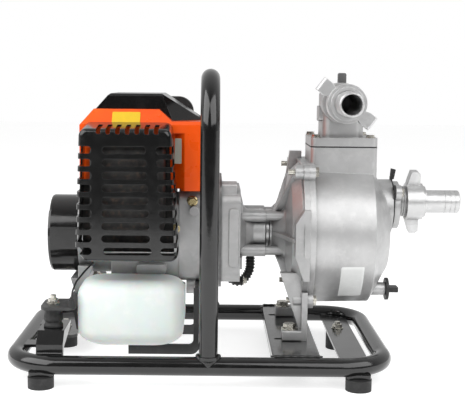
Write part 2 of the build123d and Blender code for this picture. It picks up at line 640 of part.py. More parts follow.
def guard_block(inset):
    """The guard's tapered block; its roof climbs towards the engine."""
    left_low = -121.5 + inset
    right_low = -18.5 - inset
    left_top = -117 + inset
    right_top = -26 - inset
    low = GUARD_BOTTOM_Z + inset
    high = GUARD_TOP_Z - inset
    back_high = high + 5.3
    front = GUARD_FRONT + inset
    outline = [(left_low + 10, low), (right_low, low), (right_top, back_high), (left_top, back_high),
        (left_low, low + 12)]
    above = [(front - 5, high - 1), (front, high), (GUARD_BACK, back_high), (GUARD_BACK, 300),
        (front - 5, 300)]
    block = prism_y(outline, front, GUARD_BACK) - prism_x(above, -140, 10)
    middle = (front + GUARD_BACK) / 2
    corners = block.edges().filter_by(lambda edge: abs(edge.center().Y - middle) < 2)
    block = fillet(corners, 8 - inset)
    return fillet(block.edges().group_by(Axis.Y)[0], 5 - inset)


def slot_y(x0, x1, z, y0, y1):
    """A round-ended slot cut along Y."""
    return slab(x0, x1, y0, y1, z - SLOT_HEIGHT / 2, z + SLOT_HEIGHT / 2, SLOT_HEIGHT / 2 - 0.05, Axis.Y)


def muffler_guard():
    guard = guard_block(0) - guard_block(GUARD_T)
    guard -= box(-140, 10, GUARD_BACK - 1, GUARD_BACK + 1, 100, 280)
    for row in range(SLOT_ROWS):
        z = LOWEST_SLOT_Z + row * SLOT_PITCH
        lean = row / (SLOT_ROWS - 1)
        if row > 0:
            guard -= slot_y(-95 + 1.5 * lean, -46 - 5 * lean, z, GUARD_FRONT - 1, GUARD_FRONT + 4)
        else:
            guard -= slot_y(-93, -45, z, GUARD_FRONT - 1, GUARD_FRONT + 4)
        guard -= slot_y(-130, -104.5, z, GUARD_FRONT - 1, GUARD_FRONT + 26)
        guard -= slot_y(-36 - 5 * lean, 0, z, GUARD_FRONT - 1, GUARD_FRONT + 30)
    for step in range(7):
        x = -100 + step * 9.5
        guard -= slab(x, x + 4.5, GUARD_FRONT - 1, GUARD_FRONT + 28, GUARD_TOP_Z - 5, GUARD_TOP_Z + 20, 2,
            Axis.Y)
    return guard


# ---------------------------------------------------------------- intake side
CARB_X = CRANK_X
CARB_Y = (58.0, 92.0)
CARB_Z = 206.0
LEVER_SHAFT_R = 2.5


def intake_insulator():
    block = slab(CARB_X - 17, CARB_X + 17, 52, CARB_Y[0], 194, 220, 5, Axis.Y)
    return block - cyl_y(50, 60, 8, CARB_X, CARB_Z)


def carburettor():
    body = slab(CARB_X - 15, CARB_X + 15, CARB_Y[0], CARB_Y[1], 190, 224, 4, Axis.Y)
    body += slab(CARB_X - 19, CARB_X + 19, CARB_Y[0] + 6, CARB_Y[1] - 6, 184, 191, 3, Axis.Z)
    body -= cyl_y(50, 100, 8, CARB_X, CARB_Z)
    for y in (66, 84):
        body -= cyl_x(CARB_X - 30, CARB_X + 30, LEVER_SHAFT_R + RUN_GAP, y, CARB_Z)
    return body - cyl_z(183, 188.6, 9.4, CARB_X, 75)


def valve_lever(y, reach, side):
    """A shaft across the throat with its disc, and a lever with a knob on one side."""
    inner = CARB_X - side * 14
    outer = CARB_X + side * 20
    knob_end = CARB_X + side * 34
    face = CARB_X + side * 17
    lever = cyl_x(min(inner, outer), max(inner, outer), LEVER_SHAFT_R, y, CARB_Z)
    lever += cyl_y(y - 0.5, y + 0.5, 7.7, CARB_X, CARB_Z)
    lever += slab(min(face, outer), max(face, outer), y - 4, y + 4, CARB_Z - 4, CARB_Z + reach, 1.2, Axis.X)
    return lever + cyl_x(min(face, knob_end), max(face, knob_end), 3, y, CARB_Z + reach - 4)


def throttle_lever():
    return valve_lever(66, 18, -1)


def choke_lever():
    return valve_lever(84, 24, 1)


def primer_bulb():
    bulb = cyl_z(179, 184.2, 9, CARB_X, 75) + Pos(CARB_X, 75, 179) * Sphere(9)
    bulb = bulb & box(CARB_X - 10, CARB_X + 10, 60, 90, 172, 184.2)
    return bulb - Pos(CARB_X, 75, 180) * Sphere(7.5)


FILTER_X = (-97.0, -8.0)
FILTER_Z = (180.0, 285.0)


def air_filter_housing():
    """The backing tray that the carburettor breathes through."""
    tray = slab(FILTER_X[0], FILTER_X[1], CARB_Y[1], 99, *FILTER_Z, 18, Axis.Y)
    tray -= slab(FILTER_X[0] + 3, FILTER_X[1] - 3, 95, 100, FILTER_Z[0] + 3, FILTER_Z[1] - 3, 15, Axis.Y)
    return tray - cyl_y(90, 100, 8, CARB_X, CARB_Z)


def air_filter_cover():
    cover = slab(FILTER_X[0], FILTER_X[1], 99, 126, *FILTER_Z, 18, Axis.Y)
    cover = fillet(cover.edges().group_by(Axis.Y)[-1], 7)
    hollow = slab(FILTER_X[0] + 2.5, FILTER_X[1] - 2.5, 98, 123, FILTER_Z[0] + 2.5, FILTER_Z[1] - 2.5,
        15.5, Axis.Y)
    cover -= hollow
    for step in range(5):
        z = FILTER_Z[0] + 22 + step * 9
        cover -= slab(-86, -60, 120, 130, z, z + 4, 1.9, Axis.Y)
    return cover


def filter_element():
    pad = slab(FILTER_X[0] + 4, FILTER_X[1] - 4, 100, 114, FILTER_Z[0] + 4, FILTER_Z[1] - 4, 13, Axis.Y)
    for step in range(7):
        x = FILTER_X[0] + 14 + step * 10.5
        pad -= box(x, x + 3, 110, 115, FILTER_Z[0] + 14, FILTER_Z[1] - 14)
    return pad


def stop_switch():
    """A rocker on the shroud's back; its V-shaped rear face lets it tip both ways."""
    profile = [(0, 0), (2.2, 9), (5.6, 8.6), (4.6, 0), (5.6, -8.6), (2.2, -9)]
    return Pos(0, SHROUD_BACK + 1, 238) * Rot(5, 0, 0) * prism_x(profile, -4, 5)


def stop_wire():
    """The earth wire with the boot over its terminal."""
    points = [(-126.5, -95, 82), (-126, -89, 91), (-124, -76, 98), (-118, -62, 105), (-112, -30, 110)]
    wire = tube_along(FilletPolyline(*points, radius=6), 1.0)
    boot = Pos(-126.5, -95, MOUNT_PLATE_TOP) * Cone(4.2, 2.6, 8,
        align=(Align.CENTER, Align.CENTER, Align.MIN))
    return wire + boot


# ---------------------------------------------------------------- clutch and coupling
def clutch_back_plate():
    plate = slab(CASE_RIGHT, CLUTCH_LEFT, -40, 64, 84, 200, 16, Axis.X)
    return plate - cyl_x(CASE_RIGHT - 1, CLUTCH_LEFT + 1, 43)


def clutch_housing():
    housing = slab(CLUTCH_LEFT, CLUTCH_RIGHT, -38, 62, 89.5, 189, 14, Axis.X)
    housing += slab(CLUTCH_LEFT, 41, -34, -10, 180, 197, 4, Axis.X)
    housing += slab(CLUTCH_RIGHT - 12, CLUTCH_RIGHT - 2, -39.5, -20, 108, 170, 3, Axis.Y)
    housing -= cyl_x(CLUTCH_LEFT - 1, CLUTCH_RIGHT - 4, 43)
    return housing - cyl_x(CLUTCH_LEFT, CLUTCH_RIGHT + 1, 12)


def clutch_shoes():
    """Two centrifugal shoes on their hub with the garter spring that pulls them in."""
    shoes = cyl_x(8, 24, 37)
    shoes -= cyl_x(8, 24, 24)
    shoes -= box(7, 25, AXIS_Y - 50, AXIS_Y + 50, AXIS_Z - 3, AXIS_Z + 3)
    hub = (cyl_x(10, 22, 12) + box(10, 22, AXIS_Y - 6, AXIS_Y + 6, AXIS_Z - 25, AXIS_Z + 25)) - cyl_x(0,
        30, SHAFT_R)
    spring = Pos(16, AXIS_Y, AXIS_Z) * Rot(0, 90, 0) * Torus(26, 1.6)
    return shoes + hub + (spring - shoes)


def clutch_drum():
    drum = cyl_x(6, 31, 41) - cyl_x(5, 27.5, 38.5)
    return drum + cyl_x(31, 40, 11) - cyl_x(26, 41, SHAFT_R)


BOSSES = [(sy * 20, sz * 19) for sy in (-1, 1) for sz in (-1, 1)]


def adapter_housing():
    """The cone that joins the clutch to the pump, with a boss for each of its four bolts."""
    outer = [(CLUTCH_RIGHT, 0), (CLUTCH_RIGHT, 34), (52, 25), (60, 20), (ADAPTER_RIGHT, 20),
        (ADAPTER_RIGHT, 0)]
    adapter = turned(outer)
    for dy, dz in BOSSES:
        adapter += cyl_x(CLUTCH_RIGHT, ADAPTER_RIGHT, 6.5, AXIS_Y + dy, AXIS_Z + dz)
    for side in (-1, 1):
        adapter += box(CLUTCH_RIGHT, 47.5, AXIS_Y - 42, AXIS_Y + 42, AXIS_Z + side * 30 - 6,
            AXIS_Z + side * 30 + 6)
    adapter -= cyl_x(48, ADAPTER_RIGHT + 1, 16)
    return adapter - cyl_x(CLUTCH_RIGHT - 1, 50, 12)


def wiring_conduit():
    """A corrugated conduit that leaves the adapter, drops and climbs back to the clutch housing."""
    y = AXIS_Y + 34
    points = [(59, y, 124), (59, y, 104), (58, y, 88), (50, y, 75), (39, y, 77), (31, y, 86)]
    path = FilletPolyline(*points, radius=9)
    return tube_along(path, 5.3)


# ---------------------------------------------------------------- pump
CORNER_BOLTS = [(sy * 56, sz * 68) for sy in (-1, 1) for sz in (-1, 1)]


def flange_ring(x0, x1):
    """Round flange with four ears, cut flat at the top and bottom."""
    ring = cyl_x(x0, x1, 85, AXIS_Y, PUMP_Z)
    for dy, dz in CORNER_BOLTS:
        ring += cyl_x(x0, x1, 9, AXIS_Y + dy, PUMP_Z + dz)
    return ring & box(x0, x1, -90, 110, 66.5, 218)


def pump_back_cover():
    """Back wall, its ribs, the neck for the shaft and the two feet that stand on the pump plate."""
    cover = flange_ring(FLANGE_LEFT, PARTING_X)
    cover += turned([(80, 0), (80, 18), (94, 34), (99, 66), (109, 76), (FLANGE_LEFT + 3, 76),
        (FLANGE_LEFT + 3, 0)])
    cover += cyl_x(ADAPTER_RIGHT + 5, 90, 18)
    cover -= box(90, FLANGE_LEFT, -100, -57, 60, 220)
    for dy, dz in CORNER_BOLTS:
        cover += cyl_x(101, PARTING_X, 7.5, AXIS_Y + dy, PUMP_Z + dz)
    for dy, dz in BOSSES:
        cover += cyl_x(ADAPTER_RIGHT, 104, 5, AXIS_Y + dy, AXIS_Z + dz)
    for step in range(6):
        rib = prism_y([(79, 16), (FLANGE_LEFT, 16), (FLANGE_LEFT, 74), (99, 74), (87, 36)], -2, 2)
        cover += Pos(0, AXIS_Y, AXIS_Z) * Rot(step * 60 + 30, 0, 0) * rib
    cover += prism_y([(PARTING_X, 173), (FLANGE_LEFT, 173), (101, 158), (101, 124), (FLANGE_LEFT, 99),
        (PARTING_X, 99)], -71, -40)
    cover += prism_y([(79, 158), (94, 172), (102, 226), (PARTING_X - 1, 226), (PARTING_X - 1, 140),
        (79, 140)], AXIS_Y + 33, AXIS_Y + 43)
    cover += prism_y([(87, 104), (FLANGE_LEFT + 2, 104), (FLANGE_LEFT + 2, FOOT_PAD_TOP - 3),
        (109, FOOT_PAD_TOP - 3)], -50, -40)
    for y in STAND_BOLTS_Y:
        cover += box(FLANGE_LEFT, PARTING_X, y - 10, y + 10, RAIL_TOP, 84)
        cover += slab(90, PARTING_X, y - 10, y + 10, RAIL_TOP, FOOT_PAD_TOP, 1.5, Axis.X)
        cover -= cyl_z(25, 60, BOLT_R, STAND_BOLT_X, y)
    depth = FLANGE_LEFT - 8
    cover -= turned([(depth, 0), (depth, 40), (FLANGE_LEFT - 2, 55), (PARTING_X + 1, 60), (PARTING_X + 1, 0)])
    cover -= cyl_x(70, 120, 8)
    cover -= cyl_x(94, 104, 11)
    for dy, dz in CORNER_BOLTS:
        cover -= cyl_x(90, 130, BOLT_R, AXIS_Y + dy, PUMP_Z + dz)
    return cover


def pump_casing():
    """Drum and front cone, discharge neck, and the volute ring around the impeller."""
    outer = [(PARTING_X, 0), (PARTING_X, CASING_R), (CASING_END, CASING_R - 1.5), (CONE_END, 42),
        (CONE_END, 0)]
    inner = [(PARTING_X - 1, 0), (PARTING_X - 1, CASING_R - 4.5), (CASING_END - 3, CASING_R - 6),
        (CONE_END - 4, 36), (CONE_END - 4, 0)]
    casing = flange_ring(PARTING_X, PARTING_X + FLANGE_T) + turned(outer)
    casing += slab(119, 190, AXIS_Y - 37, AXIS_Y + 37, 190, ELBOW_BASE_Z - 1.5, 6, Axis.Z)
    casing += cyl_x(190, SUCTION_FLANGE_X, 30, AXIS_Y, 168)
    casing += cyl_x(CASING_END - 4, DRAIN_SEAT, 7, AXIS_Y - 28, DRAIN_Z)
    casing -= turned(inner)
    casing -= slab(127, 180, AXIS_Y - 29, AXIS_Y + 29, 180, ELBOW_BASE_Z, 5, Axis.Z)
    casing -= cyl_x(180, SUCTION_FLANGE_X + 1, 15, AXIS_Y, SUCTION_Z)
    casing -= cyl_x(CASING_END - 20, 212, 5, AXIS_Y - 28, DRAIN_Z)
    volute = cyl_x(PARTING_X + 8, 150, 48) - cyl_x(PARTING_X + 7, 146, 43) - cyl_x(140, 152, 16)
    struts = box(PARTING_X + 8, 150, AXIS_Y - 76, AXIS_Y - 47, AXIS_Z - 3,
        AXIS_Z + 3) + box(PARTING_X + 8, 150, AXIS_Y + 47, AXIS_Y + 76, AXIS_Z - 3, AXIS_Z + 3)
    casing += volute + (struts & turned(inner))
    for dy, dz in CORNER_BOLTS:
        casing -= cyl_x(PARTING_X - 1, 130, BOLT_R, AXIS_Y + dy, PUMP_Z + dz)
    return casing


def impeller():
    wheel = cyl_x(126, 129, IMPELLER_R) + cyl_x(126, 144, 11)
    for step in range(6):
        blade = Pos(136, AXIS_Y, AXIS_Z) * Rot(step * 60, 0, 0) * Pos(0, 0, 25) * Rot(25, 0, 0) * Box(15,
            2.5, 26)
        wheel += blade
    return (wheel & cyl_x(120, 150, IMPELLER_R)) - cyl_x(120, 150, 6)


def pump_shaft():
    shaft = cyl_x(26, 72, SHAFT_R) + cyl_x(72, 144, 5.97)
    return shaft + cyl_x(144, 149, 9) + cyl_x(ADAPTER_RIGHT + 1, ADAPTER_RIGHT + 4, 18)


def shaft_seal():
    return cyl_x(94, 104, 11) - cyl_x(93, 105, 6)


def gaskets():
    """Flat seals of the discharge and of the suction port; the suction one has a pull tab."""
    discharge = slab(119, 190, AXIS_Y - 37, AXIS_Y + 37, ELBOW_BASE_Z - 1.5, ELBOW_BASE_Z, 6, Axis.Z)
    discharge -= slab(127, 180, AXIS_Y - 29, AXIS_Y + 29, 230, 240, 5, Axis.Z)
    suction = suction_oval(SUCTION_FLANGE_X, SUCTION_FLANGE_X + 2) - cyl_x(205, 215, 16.5, AXIS_Y, SUCTION_Z)
    tab = box(SUCTION_FLANGE_X, SUCTION_FLANGE_X + 2, AXIS_Y - 4, AXIS_Y + 4, 194, 201)
    tab += prism_y([(210, 198.5), (213.5, 198.5), (215.5, 209), (211, 210)], AXIS_Y - 4, AXIS_Y + 4)
    for side in (-1, 1):
        suction -= cyl_x(205, 215, 2.5, AXIS_Y - side * 24, 168 + side * 18)
    return discharge + suction + tab


def suction_oval(x0, x1):
    """The suction flange's outline, a disc with an ear above left and below right."""
    oval = cyl_x(x0, x1, 26, AXIS_Y, 170)
    for side in (-1, 1):
        oval += cyl_x(x0, x1, 8, AXIS_Y - side * 24, 168 + side * 18)
        oval += Pos((x0 + x1) / 2, AXIS_Y - side * 12, 168 + side * 9) * Rot(37, 0, 0) * Box(x1 - x0, 16, 30)
    return oval


def suction_flange():
    end = SUCTION_SEAT - 0.3
    flange = suction_oval(SUCTION_FLANGE_X + 2, SUCTION_FLANGE_X + 8)
    flange += turned([(214, 0), (214, 20), (218, THREAD_R), (end, THREAD_R), (end, 0)], AXIS_Y, SUCTION_Z)
    for step in range(8):
        x = 220 + step * 2.6
        flange -= cyl_x(x, x + 1.2, 20, AXIS_Y, SUCTION_Z) - cyl_x(x, x + 1.2, THREAD_R - 0.8, AXIS_Y,
            SUCTION_Z)
    flange -= cyl_x(205, 250, 12.5, AXIS_Y, SUCTION_Z)
    for side in (-1, 1):
        flange -= cyl_x(200, 230, 2.5, AXIS_Y - side * 24, 168 + side * 18)
    return flange


def flap_valve():
    """The check flap that hangs inside the suction port and swings towards the pump."""
    disc = cyl_x(208.2, 211.7, 13.6, AXIS_Y, SUCTION_Z)
    lug = box(208.2, 211.7, AXIS_Y - 5, AXIS_Y + 5, SUCTION_Z + 9, SUCTION_Z + 14)
    return disc + lug & cyl_x(200, 215, 14.4, AXIS_Y, SUCTION_Z)


def hose_tail(length):
    """A plain 25 mm tail, flange at the origin, mouth towards +Z."""
    tail = cyl_z(0, 3, 15.4, 0, 0) + cyl_z(0, TAIL_SHOULDER, TAIL_SHOULDER_R, 0, 0)
    tail += cyl_z(0, length, PIPE_R, 0, 0)
    for height in (length - 17, length - 11, length - 6):
        tail -= cyl_z(height, height + 1, 20, 0, 0) - cyl_z(height, height + 1, PIPE_R - 0.35, 0, 0)
    mouth = tail.edges().filter_by(GeomType.CIRCLE).group_by(Axis.Z)[-1]
    return chamfer(mouth, 1) - cyl_z(-1, length + 1, PIPE_BORE_R, 0, 0)




def wing_nut():
    """A union nut with two wings; its open end faces -Z from the origin plane."""
    nut = cyl_z(NUT_BACK, 4, 20, 0, 0) + cyl_z(4, 7, 17, 0, 0)
    wing = prism_y([(NUT_BACK, 0), (1, 0), (0.5, 14), (-2, 16), (-9, 16)], -7.5, 7.5)
    for side in (-1, 1):
        wing -= Pos(0, side * 16, 10) * Rot(side * -18, 0, 0) * Box(60, 14, 40)
    for turn in (0, 180):
        nut += Rot(0, 0, turn) * Pos(18, 0, 0) * Rot(0, 90, 0) * Rot(0, 0, 180) * wing
    bore = cyl_z(NUT_BACK - 1, 3.3, THREAD_R + GAP, 0, 0) + cyl_z(3, 8, TAIL_SHOULDER_R + GAP, 0, 0)
    return nut - bore


def suction_place(x):
    return Pos(x, AXIS_Y, SUCTION_Z) * Rot(0, 90, 0)


def outlet_place(y):
    return Pos(OUTLET_X, y, OUTLET_Z) * Rot(90, 0, 0)




def suction_tail():
    return suction_place(SUCTION_SEAT) * hose_tail(SUCTION_TIP - SUCTION_SEAT)


def suction_nut():
    return suction_place(SUCTION_SEAT) * Rot(0, 0, 7) * wing_nut()


def discharge_elbow():
    """Elbow from the casing's neck to the outlet thread, with the priming neck on top."""
    base = slab(119, 190, AXIS_Y - 37, AXIS_Y + 37, ELBOW_BASE_Z, ELBOW_BASE_Z + 9, 6, Axis.Z)
    body = slab(132, 176, AXIS_Y - 28, AXIS_Y + 28, ELBOW_BASE_Z + 5, ELBOW_TOP, 9, Axis.Z)
    body = fillet(body.edges().group_by(Axis.Z)[-1], 5)
    elbow = base + body + cyl_y(-34, 0, 21, OUTLET_X, OUTLET_Z) + cyl_y(OUTLET_SEAT + 0.3, -20, THREAD_R,
        OUTLET_X, OUTLET_Z)
    elbow += slab(128, 134, -10, 12, 262, 278, 3, Axis.X)
    elbow += cyl_z(ELBOW_TOP - 4, ELBOW_TOP + 4, 11, PRIMING_X, AXIS_Y + 12)
    elbow -= slab(136, 172, AXIS_Y - 24, AXIS_Y + 24, ELBOW_BASE_Z - 1, ELBOW_TOP - 4, 7, Axis.Z)
    elbow -= cyl_y(OUTLET_SEAT - 1, AXIS_Y, 12.5, OUTLET_X, OUTLET_Z)
    elbow -= cyl_z(285, 306, 7, PRIMING_X, AXIS_Y + 12)
    for dx, dy in [(-29, -31), (29, -31), (-29, 31), (29, 31)]:
        elbow -= cyl_z(ELBOW_BASE_Z - 1, 260, 2.5, 153.5 + dx, AXIS_Y + dy)
    return elbow


def discharge_tail():
    return outlet_place(OUTLET_SEAT) * hose_tail(OUTLET_SEAT - OUTLET_TIP_Y)


def discharge_nut():
    return outlet_place(OUTLET_SEAT) * Rot(0, 0, 142.5) * wing_nut()


def priming_cap():
    """Filler plug with a square wing handle."""
    seat = ELBOW_TOP + 4
    cap = cyl_z(seat - 9, seat + 1, 6.6, PRIMING_X, AXIS_Y + 12) + cyl_z(seat + 0.3, seat + 3, 11.5,
        PRIMING_X, AXIS_Y + 12)
    return cap + slab(PRIMING_X - 4.5, PRIMING_X + 4.5, AXIS_Y + 9, AXIS_Y + 15, seat + 2, 313.5, 2, Axis.Y)


def drain_cap():
    cap = cyl_x(DRAIN_SEAT - 6, DRAIN_SEAT + 1, 4.6, AXIS_Y - 28, DRAIN_Z)
    cap += cyl_x(DRAIN_SEAT + 0.3, DRAIN_SEAT + 3.3, 12, AXIS_Y - 28, DRAIN_Z)
    return cap + slab(DRAIN_SEAT + 2, DRAIN_SEAT + 14, AXIS_Y - 36, AXIS_Y - 20, DRAIN_Z - 2.5,
        DRAIN_Z + 2.5, 2, Axis.Z)


def machine_screws():
    """All the small hexagon screws that hold the castings together."""
    screws = Part()
    for dy, dz in CORNER_BOLTS:
        screws += hex_screw_x(PARTING_X + FLANGE_T, 28, AXIS_Y + dy, PUMP_Z + dz)
    for side in (-1, 1):
        screws += hex_screw_x(SUCTION_FLANGE_X + 8, 8, AXIS_Y - side * 24, 168 + side * 18, 2.5)
    for dx, dy in [(-29, -31), (29, -31), (-29, 31), (29, 31)]:
        screws += hex_screw_z(ELBOW_BASE_Z + 9, 9, 153.5 + dx, AXIS_Y + dy, 2.5)
    return screws


NODES = [
    base_frame, handle_hoop, cross_plates, rail_brackets, rubber_feet, frame_bolts,
    engine_mount_bushes, engine_mount_bracket, tank_guard, fuel_tank, fuel_cap,
    crankcase, ball_bearings, cylinder, piston, gudgeon_pin, connecting_rod, crankshaft, flywheel,
    starter_housing, starter_pulley, recoil_spring, ignition_coil, spark_plug,
    engine_shroud, top_cover, muffler, muffler_guard,
    intake_insulator, carburettor, throttle_lever, choke_lever, primer_bulb,
    air_filter_housing, air_filter_cover, filter_element, stop_switch, stop_wire,
    clutch_back_plate, clutch_housing, clutch_shoes, clutch_drum, adapter_housing, wiring_conduit,
    pump_back_cover, pump_casing, impeller, pump_shaft, shaft_seal, gaskets,
    suction_flange, flap_valve, suction_tail, suction_nut,
    discharge_elbow, discharge_tail, discharge_nut, priming_cap, drain_cap, machine_screws,
]

os.makedirs("parts", exist_ok=True)
to_origin = Pos(-ORIGIN_X, -ORIGIN_Y, 0)
for node in NODES:
    export_step(to_origin * node(), f"parts/{node.__name__}.step")
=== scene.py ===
import math

import bmesh
import bpy
from mathutils import Matrix, Vector


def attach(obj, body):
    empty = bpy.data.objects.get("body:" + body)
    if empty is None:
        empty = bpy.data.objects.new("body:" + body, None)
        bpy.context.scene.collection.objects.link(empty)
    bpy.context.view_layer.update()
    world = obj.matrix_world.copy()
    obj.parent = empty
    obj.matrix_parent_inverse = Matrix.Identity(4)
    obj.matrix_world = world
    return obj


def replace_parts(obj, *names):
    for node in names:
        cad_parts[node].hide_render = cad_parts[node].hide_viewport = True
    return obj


# Looks of the portable fire pump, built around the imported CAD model. Metres, +X to the suction pipe, +Z up.
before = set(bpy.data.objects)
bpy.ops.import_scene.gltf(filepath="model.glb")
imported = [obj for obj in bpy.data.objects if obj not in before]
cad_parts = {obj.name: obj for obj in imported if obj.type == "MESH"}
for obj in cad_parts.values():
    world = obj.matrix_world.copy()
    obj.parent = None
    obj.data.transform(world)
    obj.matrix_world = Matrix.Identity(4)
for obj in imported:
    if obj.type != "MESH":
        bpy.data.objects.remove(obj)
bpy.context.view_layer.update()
MM = 0.001
TURN = 2 * math.pi


# ---------------------------------------------------------------- materials
class Shader:
    """A Principled material whose colour, roughness and relief come from noise in object space."""

    def __init__(self, name, color, roughness, metallic=0.0, **sockets):
        self.material = bpy.data.materials.new(name)
        self.material.use_nodes = True
        self.tree = self.material.node_tree
        self.bsdf = self.tree.nodes["Principled BSDF"]
        self.color = color
        self.roughness = roughness
        self.set("Base Color", (*color, 1))
        self.set("Roughness", roughness)
        self.set("Metallic", metallic)
        for socket, value in sockets.items():
            self.set(socket.replace("_", " "), value)
        self.place = self.node("ShaderNodeTexCoord").outputs["Object"]
        self.tint = None
        self.normal = None

    def set(self, socket, value):
        self.bsdf.inputs[socket].default_value = value

    def node(self, kind, **inputs):
        node = self.tree.nodes.new(kind)
        for socket, value in inputs.items():
            target = node.inputs[int(socket[1:])] if socket[0] == "i" and socket[1:].isdigit() else node.inputs[socket]
            if isinstance(value, bpy.types.NodeSocket):
                self.tree.links.new(value, target)
            else:
                target.default_value = value
        return node

    def noise(self, size, detail=3.0, stretch=(1, 1, 1)):
        """Noise between 0 and 1 whose features are about size metres wide."""
        mapping = self.node("ShaderNodeMapping", Vector=self.place, Scale=stretch)
        noise = self.node("ShaderNodeTexNoise", Vector=mapping.outputs[0], Scale=1 / size, Detail=detail, Roughness=0.6)
        return noise.outputs["Fac"]

    def ramp(self, value, low, high, out_low=0.0, out_high=1.0):
        node = self.node("ShaderNodeMapRange", i0=value, i1=low, i2=high, i3=out_low, i4=out_high)
        return node.outputs[0]

    def mix(self, factor, first, second):
        node = self.tree.nodes.new("ShaderNodeMix")
        node.data_type = "RGBA"
        for socket, value in ((0, factor), (6, first), (7, second)):
            if isinstance(value, bpy.types.NodeSocket):
                self.tree.links.new(value, node.inputs[socket])
            else:
                node.inputs[socket].default_value = value if socket == 0 else (*value, 1)
        return node.outputs[2]

    def paint(self, factor, color):
        """Lays a colour over what is there, by a factor."""
        self.tint = self.mix(factor, self.tint or self.color, color)
        self.tree.links.new(self.tint, self.bsdf.inputs["Base Color"])
        return self

    def mottle(self, size, darker, lighter, detail=3.0):
        """Slow change of tone between two colours."""
        self.paint(self.ramp(self.noise(size, detail), 0.35, 0.65), darker)
        return self.paint(self.ramp(self.noise(size * 0.37, detail), 0.52, 0.75, 0, 0.8), lighter)

    def sheen_change(self, size, spread, stretch=(1, 1, 1)):
        """Roughness that wanders by spread either way."""
        value = self.ramp(self.noise(size, 4.0, stretch), 0.3, 0.7, self.roughness - spread, self.roughness + spread)
        self.tree.links.new(value, self.bsdf.inputs["Roughness"])
        return self

    def soften(self, radius):
        """Rounds every sharp edge in the light by a small radius."""
        self.normal = self.node("ShaderNodeBevel", Radius=radius).outputs[0]
        self.tree.links.new(self.normal, self.bsdf.inputs["Normal"])
        return self

    def relief(self, size, depth, strength=1.0, detail=2.0, stretch=(1, 1, 1)):
        """Fine bumps of a given width and depth."""
        bump = self.node("ShaderNodeBump", Strength=strength, Distance=depth, Height=self.noise(size, detail, stretch))
        if self.normal:
            self.tree.links.new(self.normal, bump.inputs["Normal"])
        self.normal = bump.outputs[0]
        self.tree.links.new(self.normal, self.bsdf.inputs["Normal"])
        return self

    def edge_wear(self, radius, color, amount):
        """Lighter edges, found where the rounded normal leaves the flat one."""
        rounded = self.node("ShaderNodeBevel", Radius=radius).outputs[0]
        flat = self.node("ShaderNodeNewGeometry").outputs["Normal"]
        dot = self.tree.nodes.new("ShaderNodeVectorMath")
        dot.operation = "DOT_PRODUCT"
        self.tree.links.new(rounded, dot.inputs[0])
        self.tree.links.new(flat, dot.inputs[1])
        worn = self.ramp(dot.outputs["Value"], 0.985, 0.86)
        patchy = self.ramp(self.noise(0.006, 4.0), 0.42, 0.6, 0, amount)
        product = self.node("ShaderNodeMath", i0=worn, i1=patchy)
        product.operation = "MULTIPLY"
        return self.paint(product.outputs[0], color)

    def painted_hollow_shade(self, distance, color, amount):
        """Painted shade: darker hollows and inner corners, found by ambient occlusion."""
        shade = self.node("ShaderNodeAmbientOcclusion", Distance=distance)
        shade.samples = 6
        return self.paint(self.ramp(shade.outputs["AO"], 0.75, 0.25, 0, amount), color)


def grey(value, warm=0.0):
    return (value * (1 + warm), value, value * (1 - warm))


def black_paint():
    paint = Shader("black_frame_paint", grey(0.008), 0.14, IOR=1.5, Coat_Weight=0.35, Coat_Roughness=0.05)
    paint.mottle(0.04, grey(0.007), grey(0.014)).edge_wear(0.0008, grey(0.06), 0.5)
    return paint.sheen_change(0.02, 0.05).soften(0.0006).relief(0.0035, 0.00010, 0.5)


def plate_paint():
    paint = Shader("black_plate_paint", grey(0.012), 0.2, IOR=1.5, Coat_Weight=0.4, Coat_Roughness=0.08)
    paint.mottle(0.03, grey(0.009), grey(0.02)).edge_wear(0.0008, grey(0.10), 0.6)
    return paint.sheen_change(0.02, 0.05).soften(0.0005).relief(0.006, 0.00010, 0.4)


def satin_black_steel():
    paint = Shader("satin_black_steel", grey(0.035), 0.42)
    paint.mottle(0.02, grey(0.025), grey(0.05)).edge_wear(0.0007, grey(0.16), 0.6)
    return paint.sheen_change(0.01, 0.08).soften(0.0006).relief(0.0012, 0.00005, 0.5)


def cast_aluminium(name="cast_aluminium", tone=0.50, roughness=0.42):
    metal = Shader(name, grey(tone), roughness, 0.7)
    # Painted shade in the casting's hollows and inner corners, from ambient occlusion.
    metal.mottle(0.03, grey(tone * 0.86), grey(tone * 1.1, 0.005), 5.0).painted_hollow_shade(0.010, grey(tone * 0.25), 0.8)
    metal.edge_wear(0.0010, grey(min(tone * 1.35, 0.95)), 0.7)
    return metal.sheen_change(0.004, 0.06).soften(0.0010).relief(0.00085, 0.00012, 0.55, 3.0)


def machined_aluminium():
    metal = Shader("tumbled_aluminium", grey(0.62), 0.36, 0.8)
    # Painted shade in the hollows of the tails and nuts, from ambient occlusion.
    metal.mottle(0.02, grey(0.58), grey(0.74), 4.0).painted_hollow_shade(0.006, grey(0.3), 0.4)
    metal.edge_wear(0.0008, grey(0.95), 0.7)
    return metal.sheen_change(0.003, 0.06).soften(0.0007).relief(0.0006, 0.00004, 0.5)


def orange_plastic():
    plastic = Shader("orange_moulded_plastic", (0.96, 0.100, 0.000), 0.30, Coat_Weight=0.3, Coat_Roughness=0.08)
    plastic.mottle(0.05, (0.90, 0.085, 0.000), (1.0, 0.120, 0.001)).edge_wear(0.0009, (1.0, 0.30, 0.08), 0.5)
    return plastic.sheen_change(0.02, 0.05).soften(0.0012).relief(0.0009, 0.00003, 0.4)


def gloss_black_plastic():
    plastic = Shader("gloss_black_plastic", grey(0.008), 0.16, IOR=1.5, Coat_Weight=0.25, Coat_Roughness=0.06)
    plastic.mottle(0.03, grey(0.007), grey(0.016)).edge_wear(0.0009, grey(0.07), 0.5)
    return plastic.sheen_change(0.012, 0.05).soften(0.0009).relief(0.005, 0.00009, 0.35)


